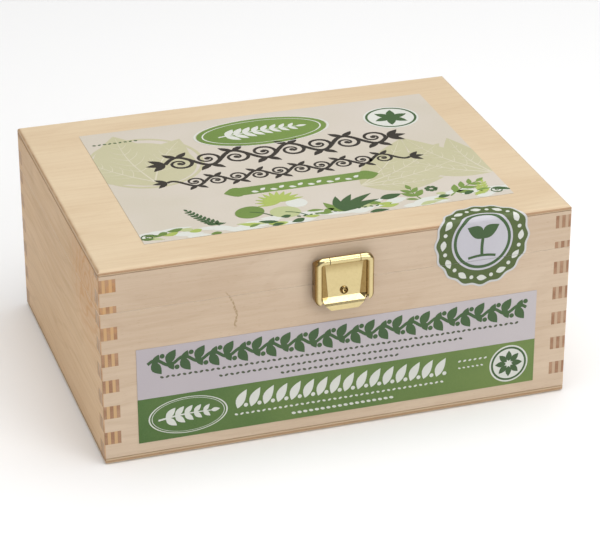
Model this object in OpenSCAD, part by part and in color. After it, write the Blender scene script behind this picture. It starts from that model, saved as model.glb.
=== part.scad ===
// Seed organizer box in plywood: four finger-jointed walls with a thin panel glued
// on above and below, sawn through into a body and a lid. Two butt hinges sit on the
// back and a sprung catch on the front. Paper labels lie on the front and the lid,
// and a scalloped paper seal is folded over the lid's front edge.
// The origin is the centre of the underside, +Z is up and the catch faces -Y.

/* [Box] */
// Outer width, left to right
box_w = 200; // [170:1:260]
// Outer depth of the wood, front to back
box_d = 150; // [130:1:200]
// Outer height with the lid closed
box_h = 87; // [84:1:110]
// Height of the lid, from the seam to the top
lid_h = 18.65; // [16:0.05:22]
// Thickness of the plywood walls
wall_t = 7; // [5:0.5:9]
// Thickness of the panel on top of the lid
lid_panel_t = 2.2; // [2:0.1:4]
// Thickness of the panel under the body
base_panel_t = 3; // [2.2:0.1:5]
// Radius of the sanded edges round the lid and the base
edge_r = 1.8; // [0.8:0.1:1.8]
// Radius of the upright edges
upright_edge_r = 0.8; // [0.5:0.1:1.8]
// Gap between the body and the closed lid
seam_gap = 0.15; // [0.1:0.05:0.4]
// Height of the shadow line between a panel and the walls
groove_h = 0.4; // [0.2:0.1:0.6]
// Depth of the shadow line
groove_in = 0.3; // [0.1:0.1:0.6]

/* [Finger joints] */
// Distance from one finger to the next
finger_pitch = 11.8; // [9:0.1:16]
// Height of a side wall's finger
finger_w = 5.7; // [4:0.1:7]
// Wood of the front wall below the first side finger
finger_start = 6.35; // [4:0.05:9]
// Height lost to the saw that parts the lid from the body
saw_kerf = 2.6; // [1.5:0.1:4]

/* [Catch] */
// Width of the catch
catch_w = 25; // [23:0.5:30]
// Height of the catch's hinge pin above the body's rim
catch_rise = 11.4; // [11:0.1:12.5]
// Distance of the hinge pin from the wood
pin_out = 4; // [3.9:0.1:5]
// Radius of the rolled bead round the flap, and of its knuckles
bead_r = 1.6; // [1.5:0.05:1.7]
// Bend radius of the flap's upper corners, at the middle of the bead
corner_r = 2; // [1.8:0.1:2.4]
// Bend radius of the flap's lower corners, at the middle of the bead
corner_low_r = 1.9; // [1.8:0.1:2.4]
// Thickness of the flap's sheet
sheet_t = 0.7; // [0.5:0.05:0.7]
// Thickness of the catch's two nailed plates
plate_t = 0.8; // [0.6:0.05:0.9]
// Depth of the panel's front face below the hinge pin
panel_dip = 0.4; // [0.3:0.05:0.7]
// Width of the centre knuckle
knuckle_w = 12.6; // [10:0.2:14]
// Gap on each side of the centre knuckle
knuckle_gap = 0.3; // [0.2:0.05:0.5]
// Distance of the panel's upper edge below the pin
panel_drop = 2; // [1.9:0.05:2.4]
// Height of the flap's panel, from its upper edge to the ramp
panel_h = 14.3; // [14:0.1:15]
// Half the panel's width at the top
panel_top_x = 8; // [7.6:0.1:8.4]
// Half the panel's width at the foot
panel_foot_x = 6.7; // [6.2:0.1:7.4]
// Height of the ramp between the panel and the lip
ramp_h = 2.1; // [1.6:0.1:2.6]
// Distance that the ramp climbs outwards
ramp_out = 1.3; // [0.9:0.1:1.6]
// Half the ramp's width at its foot
ramp_foot_x = 8.75; // [8:0.05:9]
// Height of the finger lip
lip_h = 3.5; // [2.5:0.1:4.5]
// Half the lip's width at its lower edge
lip_foot_x = 5.8; // [4:0.1:7]
// Gap between the flap's skirt and the wood
skirt_gap = 0.9; // [0.5:0.1:1.4]
// Radius of the catch's hinge pin
catch_pin_r = 0.7; // [0.5:0.05:0.75]
// Width of the spring tongue and of the nose that it hooks under
tongue_w = 7; // [5:0.5:8]
// Thickness of the spring tongue
tongue_t = 0.4; // [0.3:0.05:0.5]
// Radius of the rivet's head
rivet_head_r = 1.7; // [1.4:0.1:2]
// Radius of the rivet's shank
rivet_r = 1.2; // [1:0.05:1.3]

/* [Hinges] */
// Width of each back hinge
hinge_w = 25; // [20:0.5:32]
// Distance of each hinge's middle from the nearer end of the box
hinge_inset = 38; // [26:1:46]
// Height of a leaf, from the pin to its far edge
leaf_h = 9.5; // [8.5:0.1:11]
// Thickness of a leaf
leaf_t = 0.8; // [0.6:0.05:1]
// Outer radius of the knuckles
hinge_knuckle_r = 1.6; // [1.4:0.05:1.7]
// Radius of the hinge pin
hinge_pin_r = 0.75; // [0.6:0.05:0.9]
// Number of knuckles
hinge_knuckles = 5; // [3:2:7]
// Distance of the hinge pin from the wood
hinge_pin_out = 1.75; // [1.7:0.05:2]
// Distance between the two nails of a leaf
leaf_nail_pitch = 15; // [11:0.5:17]

/* [Nails and fits] */
// Radius of a nail's shank
nail_r = 0.55; // [0.4:0.05:0.7]
// Radius of a nail's head
nail_head_r = 1.25; // [1:0.05:1.4]
// Height of a nail's domed head
nail_head_h = 0.45; // [0.3:0.05:0.5]
// Length of a nail below its head
nail_len = 5; // [3.5:0.1:5.5]
// Radial play of a pin in its knuckles
pin_play = 0.05; // [0.02:0.01:0.1]
// Radial play of a nail or rivet in its hole
nail_play = 0.02; // [0.01:0.01:0.05]
// Gap between neighbouring knuckles of a back hinge
knuckle_play = 0.2; // [0.1:0.05:0.3]

/* [Paper] */
// Thickness of the labels and the seal
paper_t = 0.2; // [0.1:0.05:0.3]
// Wood left and right of the front label
front_label_margin = 14.25; // [8:0.25:30]
// Wood below the front label
front_label_z = 7.7; // [4:0.1:12]
// Wood between the front label and the seal
seal_label_gap = 5.75; // [2:0.25:12]
// Wood left and right of the label on the lid
lid_label_margin_x = 21; // [12:0.5:40]
// Wood in front of and behind the label on the lid
lid_label_margin_y = 18.5; // [14:0.5:35]
// Place of the lid label to the right of the middle
lid_label_x = 2.6; // [-5:0.1:5]
// Diameter of the seal across its scallops
seal_d = 41.9; // [36:0.1:44]
// Number of scallops round the seal
seal_lobes = 16; // [10:1:20]
// Depth of the scallops
scallop_h = 0.9; // [0.4:0.1:1.4]
// Distance of the seal's centre from the right end of the box
seal_inset = 39.4; // [30:0.1:45]
// Distance of the seal's centre below the top of the lid
seal_drop = 9.9; // [6:0.1:12]

/* [Hidden] */

$fn = 48;

wood_colour = "burlywood";
panel_colour = "wheat";
brass_colour = "gold";
steel_colour = "silver";
paper_colour = "lavender";
seal_colour = "olivedrab";

past = 1; // how far a cutter runs past what it cuts
lid_z = box_h - lid_h;
body_h = lid_z - seam_gap;
walls_top = box_h - lid_panel_t;
finger_count = ceil(box_h / finger_pitch);

// Heights on the catch are measured from its hinge pin, down being negative.
catch_pin_z = body_h + catch_rise;
catch_bore_r = catch_pin_r + pin_play;
bead_x = catch_w / 2 - bead_r;
bead_in_x = bead_x - bead_r;
panel_front = pin_out - panel_dip;
panel_back = panel_front - sheet_t;
panel_top = -panel_drop;
panel_foot = panel_top - panel_h;
ramp_foot = panel_foot - ramp_h;
ramp_front = panel_front + ramp_out;
lip_foot = ramp_foot - lip_h;

// The flap's rim and lip
rim_leg = 0.3; // turned-in edge of the bead, towards the panel
rim_past = 0.9; // beads below the foot of the ramp
rim_turn = 60; // degrees that the beads turn in at the bottom
crease_drop = 1.2; // crease across the lip, below the ramp
crease_out = 0.3; // how far the crease stands in front of the ramp
lip_shoulder = 0.8; // straight part of the lip's ends
rim_foot = ramp_foot - rim_past;
run_foot = rim_foot + (corner_low_r + bead_r) * sin(rim_turn);
ear_slope = 0.9; // the skirt ends above the pin along a slope

// Plates, spring and nose behind the flap
plate_side_gap = 1.1;
plate_drop = 0.1; // plate's upper edge below the panel's
plate_nail_drop = 4.6; // nails below the plate's upper edge
plate_nail_in = 2.1; // nails from the plate's ends
web_turn = 40; // degrees below the pin where the plate's web meets its knuckle
tongue_drop = 7.7; // tongue's end below the panel's upper edge
tongue_reach = 0.9; // tongue's bend below the panel's foot
rivet_rise = 2.4; // rivet above the panel's foot
nose_rise = 0.3; // nose above the panel's foot
nose_t = 0.8;
nose_lip_t = 0.4;
nose_lip_h = 0.5;
nose_gap = 0.6; // between the nose and the tongue
hook_play = 0.1; // between the nose's lip and the hook
hook_drop = 0.15; // hook's end below the nose
plate_x = bead_in_x - plate_side_gap;
plate_top = panel_top - plate_drop;
plate_foot = -(catch_rise - seam_gap - plate_t);
keeper_top = -(catch_rise + plate_t);
keeper_foot = rim_foot;
plate_nail_x = plate_x - plate_nail_in;
plate_nail_z = plate_top - plate_nail_drop;
keeper_nail_z = (keeper_top + keeper_foot) / 2;
tongue_p = panel_back - tongue_t / 2;
tongue_top = panel_top - tongue_drop;
tongue_foot = panel_foot - tongue_reach;
rivet_z = panel_foot + rivet_rise;
nose_foot = panel_foot + nose_rise;
nose_out = panel_back - tongue_t - nose_gap;
hook_p = nose_out - nose_lip_t - hook_play - tongue_t / 2;
hook_top = nose_foot - hook_drop;
pin_end_wall = 0.3; // metal left beyond the pin's ends
catch_pin_len = 2 * (bead_x - corner_r - pin_end_wall);

hinge_x = box_w / 2 - hinge_inset;
hinge_z = body_h + seam_gap / 2;
hinge_bore_r = hinge_pin_r + pin_play;
hinge_clear = 0.3; // between a knuckle and the other leaf
hinge_sweep = hinge_knuckle_r + hinge_clear;
knuckle_len = (hinge_w - (hinge_knuckles - 1) * knuckle_play) / hinge_knuckles;
leaf_nail_z = (leaf_h + hinge_sweep) / 2;
pin_head_r = 1.6 * hinge_pin_r;
pin_head_t = 0.4;

front_label_w = box_w - 2 * front_label_margin;
lid_label_w = box_w - 2 * lid_label_margin_x;
lid_label_d = box_d - 2 * lid_label_margin_y;
seal_x = box_w / 2 - seal_inset;
seal_z = box_h - seal_drop;
points_per_lobe = 8;
seal_points = points_per_lobe * seal_lobes;
front_label_h = seal_z - seal_d / 2 - seal_label_gap - front_label_z;
flat_s = box_h - edge_r - seal_z;
bend_s = edge_r * PI / 2;
bend_r = edge_r + paper_t;

// Rectangle with rounded corners, centred on the origin
module plan(w, d, r) {
    square([w - 2 * r, d], center = true);
    square([w, d - 2 * r], center = true);
    for (sx = [-1, 1], sy = [-1, 1]) {
        translate([sx * (w / 2 - r), sy * (d / 2 - r)]) circle(r);
    }
}

// Cross-section of a panel with its two upper corners rounded
module panel_section(w, t, r) {
    translate([-w / 2, 0]) square([w, t - r]);
    translate([-w / 2 + r, 0]) square([w - 2 * r, t]);
    for (sx = [-1, 1]) {
        translate([sx * (w / 2 - r), t - r]) circle(r);
    }
}

// Panel with sanded upper edges and a shadow line along its lower edge
module sanded_panel(t) {
    intersection() {
        translate([0, 0, groove_h]) linear_extrude(t - groove_h) plan(box_w, box_d, upright_edge_r);
        rotate([90, 0, 0]) linear_extrude(box_d + 2 * past, center = true) panel_section(box_w, t, edge_r);
        rotate([90, 0, 90]) linear_extrude(box_w + 2 * past, center = true) panel_section(box_d, t, edge_r);
    }
    linear_extrude(groove_h) plan(box_w - 2 * groove_in, box_d - 2 * groove_in, upright_edge_r);
}

// Everything between two heights inside the box's rounded outline
module outline_between(z0, z1) {
    translate([0, 0, z0]) linear_extrude(z1 - z0) plan(box_w, box_d, upright_edge_r);
}

// The side walls' fingers at all four corners. The lid's are lower by the saw's kerf.
module side_fingers(drop) {
    reach = wall_t + past;
    for (sx = [-1, 1], sy = [-1, 1], k = [0 : finger_count]) {
        translate([
            sx * (box_w / 2 - wall_t + reach / 2),
            sy * (box_d / 2 - wall_t + reach / 2),
            base_panel_t + finger_start + k * finger_pitch - drop + finger_w / 2
        ]) cube([reach, reach, finger_w], center = true);
    }
}

// Front or back wall, notched where the side walls' fingers pass through it
module long_wall(side, z0, z1, drop) {
    intersection() {
        outline_between(z0, z1);
        difference() {
            translate([0, side * (box_d / 2 - wall_t / 2), (z0 + z1) / 2])
                cube([box_w, wall_t, z1 - z0], center = true);
            side_fingers(drop);
        }
    }
}

// Left or right wall with its fingers
module short_wall(side, z0, z1, drop) {
    intersection() {
        outline_between(z0, z1);
        union() {
            translate([side * (box_w / 2 - wall_t / 2), 0, (z0 + z1) / 2])
                cube([wall_t, box_d - 2 * wall_t, z1 - z0], center = true);
            intersection() {
                side_fingers(drop);
                translate([side * box_w / 2, 0, (z0 + z1) / 2])
                    cube([2 * wall_t, box_d + 2 * past, z1 - z0], center = true);
            }
        }
    }
}

module base_panel() {
    color(panel_colour)
        translate([0, 0, base_panel_t]) mirror([0, 0, 1]) sanded_panel(base_panel_t);
}

module lid_panel() {
    color(panel_colour) translate([0, 0, walls_top]) sanded_panel(lid_panel_t);
}

module front_wall() {
    color(wood_colour) difference() {
        long_wall(-1, base_panel_t, body_h, 0);
        in_catch_frame() keeper_nail_holes();
    }
}

module back_wall() {
    color(wood_colour) difference() {
        long_wall(1, base_panel_t, body_h, 0);
        for (side = [-1, 1]) in_hinge_frame(side) leaf_nail_holes(-1);
    }
}

module left_wall() {
    color(wood_colour) short_wall(-1, base_panel_t, body_h, 0);
}

module right_wall() {
    color(wood_colour) short_wall(1, base_panel_t, body_h, 0);
}

module lid_front_rail() {
    color(wood_colour) difference() {
        long_wall(-1, lid_z, walls_top, saw_kerf);
        in_catch_frame() plate_nail_holes();
    }
}

module lid_back_rail() {
    color(wood_colour) difference() {
        long_wall(1, lid_z, walls_top, saw_kerf);
        for (side = [-1, 1]) in_hinge_frame(side) leaf_nail_holes(1);
    }
}

module lid_left_rail() {
    color(wood_colour) short_wall(-1, lid_z, walls_top, saw_kerf);
}

module lid_right_rail() {
    color(wood_colour) short_wall(1, lid_z, walls_top, saw_kerf);
}

// Round-headed nail standing on z = 0, its shank going down
module nail() {
    dome_r = (nail_head_r * nail_head_r + nail_head_h * nail_head_h) / (2 * nail_head_h);
    tip = 2 * nail_r;
    intersection() {
        translate([0, 0, nail_head_h - dome_r]) sphere(dome_r);
        cylinder(h = 2 * nail_head_h, r = nail_head_r + past);
    }
    translate([0, 0, tip - nail_len]) cylinder(h = nail_len - tip, r = nail_r);
    translate([0, 0, -nail_len]) cylinder(h = tip, r1 = nail_r / 4, r2 = nail_r);
}

module nail_hole() {
    translate([0, 0, -nail_len]) cylinder(h = nail_len + past, r = nail_r + nail_play);
}

// Hinge frame: the pin lies on X, +Y is away from the wood, z = 0 is the pin's height
module in_hinge_frame(side) {
    translate([side * hinge_x, box_d / 2, hinge_z]) children();
}

// Two nails or nail holes on the wood below (-1) or above (1) the pin
module at_leaf_nails(up) {
    for (sx = [-1, 1]) {
        translate([sx * leaf_nail_pitch / 2, leaf_t, up * leaf_nail_z]) rotate([-90, 0, 0]) children();
    }
}

module leaf_nail_holes(up) {
    at_leaf_nails(up) nail_hole();
}

function knuckle_x(k) = -hinge_w / 2 + k * (knuckle_len + knuckle_play);

// One leaf with every second knuckle: first = 0 takes the outer ones
module hinge_leaf(up, first) {
    far = up > 0 ? 0 : -1;
    difference() {
        union() {
            translate([-hinge_w / 2, 0, up > 0 ? hinge_sweep : -leaf_h])
                cube([hinge_w, leaf_t, leaf_h - hinge_sweep]);
            for (k = [first : 2 : hinge_knuckles - 1]) {
                translate([knuckle_x(k), hinge_pin_out, 0]) rotate([0, 90, 0])
                    cylinder(h = knuckle_len, r = hinge_knuckle_r);
                translate([knuckle_x(k), 0, far * (hinge_sweep + leaf_t)])
                    cube([knuckle_len, leaf_t, hinge_sweep + leaf_t]);
            }
        }
        translate([-hinge_w / 2 - past, hinge_pin_out, 0]) rotate([0, 90, 0])
            cylinder(h = hinge_w + 2 * past, r = hinge_bore_r);
        at_leaf_nails(up) nail_hole();
    }
}

module hinge_pin() {
    translate([-hinge_w / 2, hinge_pin_out, 0]) rotate([0, 90, 0]) cylinder(h = hinge_w, r = hinge_pin_r);
    for (sx = [-1, 1]) {
        translate([sx * (hinge_w + pin_head_t) / 2, hinge_pin_out, 0]) rotate([0, 90, 0])
            cylinder(h = pin_head_t, r = pin_head_r, center = true);
    }
}

module left_hinge_body_leaf() {
    color(brass_colour) in_hinge_frame(-1) hinge_leaf(-1, 0);
}

module right_hinge_body_leaf() {
    color(brass_colour) in_hinge_frame(1) hinge_leaf(-1, 0);
}

module left_hinge_lid_leaf() {
    color(brass_colour) in_hinge_frame(-1) hinge_leaf(1, 1);
}

module right_hinge_lid_leaf() {
    color(brass_colour) in_hinge_frame(1) hinge_leaf(1, 1);
}

module left_hinge_pin() {
    color(steel_colour) in_hinge_frame(-1) hinge_pin();
}

module right_hinge_pin() {
    color(steel_colour) in_hinge_frame(1) hinge_pin();
}

module hinge_body_nails() {
    color(brass_colour) for (side = [-1, 1]) in_hinge_frame(side) at_leaf_nails(-1) nail();
}

module hinge_lid_nails() {
    color(brass_colour) for (side = [-1, 1]) in_hinge_frame(side) at_leaf_nails(1) nail();
}

// Catch frame: the pin lies along X at z = 0 and +Y is outwards from the front wood
module in_catch_frame() {
    translate([0, -box_d / 2, catch_pin_z]) rotate([0, 0, 180]) children();
}

module at_plate_nails(z) {
    for (sx = [-1, 1]) {
        translate([sx * plate_nail_x, plate_t, z]) rotate([-90, 0, 0]) children();
    }
}

module plate_nail_holes() {
    at_plate_nails(plate_nail_z) nail_hole();
}

module keeper_nail_holes() {
    at_plate_nails(keeper_nail_z) nail_hole();
}

// Profile drawn in (outwards, up) and run across the catch
module across(width) {
    rotate([90, 0, 90]) linear_extrude(width, center = true) children();
}

// Half-round bead seen along its run: the skirt is on the +X side, the leg on the -X side
module bead_profile() {
    difference() {
        intersection() {
            circle(bead_r);
            translate([-bead_r, 0]) square([2 * bead_r, bead_r]);
        }
        circle(bead_r - sheet_t);
    }
    translate([bead_r - sheet_t, skirt_gap - pin_out]) square([sheet_t, pin_out - skirt_gap]);
    translate([-bead_r, -rim_leg]) square([sheet_t, rim_leg]);
}

// Outline of the same bead filled in, for its lower bend
module bead_end() {
    circle(bead_r);
    translate([-bead_r, skirt_gap - pin_out]) square([2 * bead_r, pin_out - skirt_gap]);
}

// Turns a shape drawn flat, with its height as Z, so that it faces outwards from the wood
module facing_out() {
    rotate([90, 0, 0]) mirror([0, 0, 1]) children();
}

// Right-hand rim: the straight bead, the filled lower bend and the upper bend
module flap_rim() {
    translate([bead_x, pin_out, run_foot]) linear_extrude(-corner_r - run_foot) bead_profile();
    translate([bead_x - corner_low_r, pin_out, run_foot]) facing_out() mirror([0, 1, 0])
        rotate_extrude(angle = rim_turn) translate([corner_low_r, 0]) bead_end();
    difference() {
        translate([bead_x - corner_r, pin_out, -corner_r]) facing_out()
            rotate_extrude(angle = 90) translate([corner_r, 0]) bead_profile();
        across(2 * catch_w) polygon([
            [-pin_out, -corner_r - pin_out * ear_slope], [pin_out, pin_out * ear_slope - corner_r],
            [pin_out, 2 * pin_out], [-pin_out, 2 * pin_out]
        ]);
    }
}

// Cross-section of the wall that slopes from inside the rim's leg down to the edge at (x, p)
module rim_wall_section(x, p) {
    inset = sheet_t / 7;
    polygon([
        [bead_in_x + inset, pin_out - rim_leg / 2], [bead_in_x + sheet_t - inset, pin_out - rim_leg / 2],
        [bead_in_x + sheet_t - inset, pin_out - rim_leg - inset], [x + sheet_t, p - sheet_t + inset],
        [x - sheet_t / 2, p - sheet_t + inset], [x - inset, p - inset],
        [bead_in_x + inset, pin_out - rim_leg - inset]
    ]);
}

// Sloping wall beside the panel and the ramp
module flap_wall() {
    slice = sheet_t / 20;
    hull() {
        translate([0, 0, panel_top]) linear_extrude(slice) rim_wall_section(panel_top_x, panel_front);
        translate([0, 0, panel_foot]) linear_extrude(slice) rim_wall_section(panel_foot_x, panel_front);
    }
    hull() {
        translate([0, 0, panel_foot]) linear_extrude(slice) rim_wall_section(panel_foot_x, panel_front);
        translate([0, 0, ramp_foot]) linear_extrude(slice) rim_wall_section(ramp_foot_x, ramp_front);
    }
}

// Flat panel with two tabs that reach up to the outer knuckles
module flap_panel() {
    tab_in = knuckle_w / 2 + knuckle_gap;
    translate([0, panel_back, 0]) facing_out() linear_extrude(sheet_t) {
        polygon([
            [-panel_foot_x, panel_foot], [panel_foot_x, panel_foot],
            [panel_top_x, panel_top], [-panel_top_x, panel_top]
        ]);
        for (sx = [-1, 1]) {
            translate([sx * (tab_in + bead_in_x) / 2, (panel_top - bead_r / 2) / 2])
                square([bead_in_x - tab_in, -panel_top], center = true);
        }
    }
}

// Ramp and finger lip, cut to the outline that widens down the ramp and narrows down the lip
module flap_lip() {
    shoulder_x = bead_in_x - lip_shoulder;
    intersection() {
        across(catch_w) bent_strip([
            [panel_front - sheet_t / 2, panel_foot + sheet_t],
            [panel_front - sheet_t / 2, panel_foot - sheet_t / 3],
            [ramp_front - sheet_t / 2, ramp_foot - sheet_t / 3],
            [ramp_front + crease_out - sheet_t / 2, ramp_foot - crease_drop],
            [ramp_front + crease_out / 2 - sheet_t / 2, lip_foot]
        ], sheet_t);
        facing_out() linear_extrude(4 * pin_out, center = true) polygon([
            [-panel_foot_x, panel_foot + sheet_t], [panel_foot_x, panel_foot + sheet_t],
            [panel_foot_x, panel_foot], [ramp_foot_x, ramp_foot],
            [shoulder_x, ramp_foot - lip_shoulder], [lip_foot_x, lip_foot],
            [-lip_foot_x, lip_foot], [-shoulder_x, ramp_foot - lip_shoulder],
            [-ramp_foot_x, ramp_foot], [-panel_foot_x, panel_foot]
        ]);
    }
}

module catch_flap() {
    knuckle_in = knuckle_w / 2 + knuckle_gap;
    color(brass_colour) in_catch_frame() difference() {
        union() {
            for (sx = [0, 1]) mirror([sx, 0, 0]) {
                flap_rim();
                flap_wall();
                translate([knuckle_in, pin_out, 0]) rotate([0, 90, 0])
                    cylinder(h = bead_x - corner_r - knuckle_in, r = bead_r);
            }
            flap_panel();
            flap_lip();
        }
        translate([0, pin_out, 0]) rotate([0, 90, 0])
            cylinder(h = catch_pin_len, r = catch_bore_r, center = true);
        translate([0, 0, rivet_z]) rotate([-90, 0, 0])
            cylinder(h = 2 * pin_out, r = rivet_r + nail_play);
    }
}

module catch_pin() {
    color(steel_colour) in_catch_frame() translate([0, pin_out, 0]) rotate([0, 90, 0])
        cylinder(h = catch_pin_len, r = catch_pin_r, center = true);
}

// Tubular rivet: a rolled ring round a deep dish, closed over behind the tongue
module catch_rivet() {
    roll_r = rivet_head_r / 5;
    dish_r = 0.9 * rivet_head_r;
    dish_out = dish_r - rivet_head_r / 3;
    clinch_t = tongue_t;
    clinch_r = 1.4 * rivet_r;
    clinch_p = panel_back - tongue_t - clinch_t;
    color(brass_colour) in_catch_frame() translate([0, 0, rivet_z]) rotate([-90, 0, 0]) difference() {
        union() {
            translate([0, 0, panel_front]) cylinder(h = roll_r, r = rivet_head_r - roll_r);
            translate([0, 0, panel_front + roll_r])
                rotate_extrude() translate([rivet_head_r - roll_r, 0]) circle(roll_r);
            translate([0, 0, clinch_p]) cylinder(h = panel_front - clinch_p, r = rivet_r);
            translate([0, 0, clinch_p]) cylinder(h = clinch_t, r = clinch_r);
        }
        translate([0, 0, panel_front + dish_out]) sphere(dish_r);
    }
}

// Strip of sheet bent along a line: each corner is a mitre
module bent_strip(points, t) {
    last = len(points) - 1;
    function unit(v) = v / norm(v);
    function left_of(v) = [-v[1], v[0]];
    function normal_at(i) =
        i == 0 ? left_of(unit(points[1] - points[0]))
        : i == last ? left_of(unit(points[last] - points[last - 1]))
        : let (
            a = left_of(unit(points[i] - points[i - 1])),
            b = left_of(unit(points[i + 1] - points[i]))
        ) (a + b) / (1 + a * b);
    polygon(concat(
        [for (i = [0 : last]) points[i] + normal_at(i) * t / 2],
        [for (i = [last : -1 : 0]) points[i] - normal_at(i) * t / 2]
    ));
}

// Leaf spring behind the panel, hooked under the keeper's nose
module catch_tongue() {
    color(steel_colour) in_catch_frame() difference() {
        across(tongue_w) bent_strip([
            [tongue_p, tongue_top], [tongue_p, tongue_foot],
            [hook_p, tongue_foot], [hook_p, hook_top]
        ], tongue_t);
        translate([0, 0, rivet_z]) rotate([-90, 0, 0]) cylinder(h = pin_out, r = rivet_r + nail_play);
    }
}

// Plate on the lid that carries the centre knuckle on a web at 45 degrees
module catch_plate() {
    ring_r = (bead_r + catch_bore_r) / 2;
    web_end = [pin_out - ring_r * cos(web_turn), -ring_r * sin(web_turn)];
    web_start = [plate_t / 2, web_end[1] - (web_end[0] - plate_t / 2)];
    color(brass_colour) in_catch_frame() difference() {
        union() {
            translate([-plate_x, 0, plate_foot]) cube([2 * plate_x, plate_t, plate_top - plate_foot]);
            across(knuckle_w) {
                bent_strip([[plate_t / 2, web_start[1] - plate_t], web_start, web_end], plate_t);
                translate([pin_out, 0]) circle(bead_r);
            }
        }
        translate([0, pin_out, 0]) rotate([0, 90, 0])
            cylinder(h = knuckle_w + past, r = catch_bore_r, center = true);
        plate_nail_holes();
    }
}

module catch_plate_nails() {
    color(brass_colour) in_catch_frame() at_plate_nails(plate_nail_z) nail();
}

// Plate on the body with the nose that holds the tongue down
module catch_keeper() {
    color(brass_colour) in_catch_frame() difference() {
        union() {
            translate([-plate_x, 0, keeper_foot]) cube([2 * plate_x, plate_t, keeper_top - keeper_foot]);
            across(tongue_w) polygon([
                [plate_t / 2, nose_foot], [nose_out - nose_lip_t, nose_foot],
                [nose_out - nose_lip_t, nose_foot - nose_lip_h], [nose_out, nose_foot - nose_lip_h],
                [nose_out, nose_foot + nose_t / 2], [nose_out - nose_t / 2, nose_foot + nose_t],
                [plate_t / 2, nose_foot + nose_t]
            ]);
        }
        keeper_nail_holes();
    }
}

module catch_keeper_nails() {
    color(brass_colour) in_catch_frame() at_plate_nails(keeper_nail_z) nail();
}

module front_label() {
    color(paper_colour) translate([-front_label_w / 2, -box_d / 2 - paper_t, front_label_z])
        cube([front_label_w, paper_t, front_label_h]);
}

module lid_label() {
    color(paper_colour) translate([lid_label_x - lid_label_w / 2, -lid_label_d / 2, box_h])
        cube([lid_label_w, lid_label_d, paper_t]);
}

// The seal's scalloped outline laid flat: x across and s upwards from its centre
function seal_r(a) = (seal_d - scallop_h) / 2 + scallop_h / 2 * cos(seal_lobes * a);
function seal_outline() = [
    for (i = [0 : seal_points - 1]) let (a = 360 * i / seal_points) seal_r(a) * [cos(a), sin(a)]
];

// Height s on the flat seal as a place along the chord of the bend
function bend_place(s) =
    s < flat_s ? s - flat_s - bend_r * sin(45)
    : s > flat_s + bend_s ? s - flat_s - bend_s + bend_r * sin(45)
    : bend_r * sin((s - flat_s) / edge_r * 180 / PI - 45);

module seal_flat_front(z0, z1) {
    intersection() {
        translate([seal_x, -box_d / 2, seal_z]) rotate([90, 0, 0]) linear_extrude(paper_t) polygon(seal_outline());
        translate([seal_x - seal_d, -box_d / 2 - past, z0]) cube([2 * seal_d, 2 * past, z1 - z0]);
    }
}

module seal_flat_top() {
    start = -box_d / 2 + edge_r;
    intersection() {
        translate([seal_x, start - flat_s - bend_s, box_h]) linear_extrude(paper_t) polygon(seal_outline());
        translate([seal_x - seal_d, start, box_h - past]) cube([2 * seal_d, seal_d, 2 * past]);
    }
}

// The part of the seal that bends round the lid's front edge
module seal_bend() {
    bent_outline = [for (p = seal_outline()) [p[0], bend_place(p[1])]];
    translate([seal_x, -box_d / 2 + edge_r, box_h - edge_r]) intersection() {
        rotate([0, 90, 0]) difference() {
            cylinder(h = 2 * seal_d, r = bend_r, center = true);
            cylinder(h = 2 * seal_d + past, r = edge_r, center = true);
        }
        translate([-seal_d, -2 * bend_r, 0]) cube([2 * seal_d, 2 * bend_r, 2 * bend_r]);
        rotate([45, 0, 0]) linear_extrude(2 * bend_r) polygon(bent_outline);
    }
}

module seal_on_lid() {
    color(seal_colour) {
        seal_flat_front(lid_z, box_h - edge_r);
        seal_bend();
        seal_flat_top();
    }
}

module seal_on_body() {
    color(seal_colour) seal_flat_front(0, body_h);
}

base_panel();
front_wall();
back_wall();
left_wall();
right_wall();
lid_panel();
lid_front_rail();
lid_back_rail();
lid_left_rail();
lid_right_rail();
left_hinge_body_leaf();
right_hinge_body_leaf();
left_hinge_lid_leaf();
right_hinge_lid_leaf();
left_hinge_pin();
right_hinge_pin();
hinge_body_nails();
hinge_lid_nails();
catch_plate();
catch_plate_nails();
catch_flap();
catch_pin();
catch_tongue();
catch_rivet();
catch_keeper();
catch_keeper_nails();
front_label();
lid_label();
seal_on_lid();
seal_on_body();
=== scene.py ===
# %% [markdown]
# # A plywood box for seed packets
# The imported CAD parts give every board, hinge and catch its true size and place.
# This lesson gives them wood, brass and paper, prints the labels and the seal with
# thin raised ink, and sets up the studio. Modelling stays in millimetres on flat
# sheets, and one scale turns them into Blender's metres. The box's own sizes, which
# the patterns and the prints are laid out by, stand at the top.

import math
import random

import bmesh
import bpy
from mathutils import Matrix, Vector


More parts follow.
